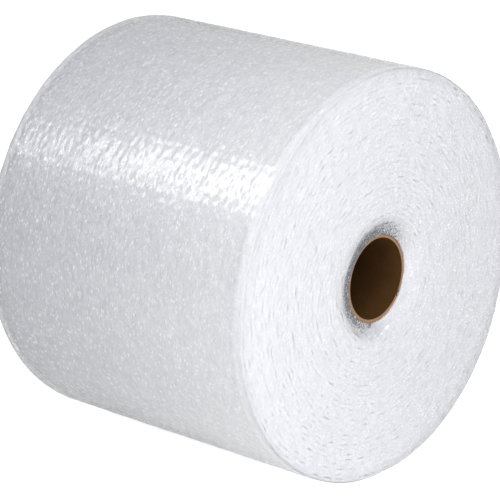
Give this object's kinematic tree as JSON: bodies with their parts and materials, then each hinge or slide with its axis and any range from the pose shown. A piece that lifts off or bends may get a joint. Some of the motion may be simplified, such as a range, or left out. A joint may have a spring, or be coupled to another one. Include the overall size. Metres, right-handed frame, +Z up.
{
  "type": "bubble wrap roll",
  "caption": "Roll of clear air bubble wrap wound on a cardboard core, lying on its side with a small pressed flat; the core is open from end to end.",
  "frame": {"origin": "on the floor under the middle of the roll, in the pressed flat", "axes": "+X along the core towards the end that the picture shows, +Z up"},
  "size_m": [0.305, 0.393, 0.3877],
  "materials": {
    "film": "clear polyethylene film with air bubbles, milky white where many turns lie together, glossy",
    "core": "brown cardboard, matt, dark inside, paler where it is cut"
  },
  "bodies": {
    "root": {"bubble_wrap": "film", "core_tube": "core"}
  },
  "joints": []
}
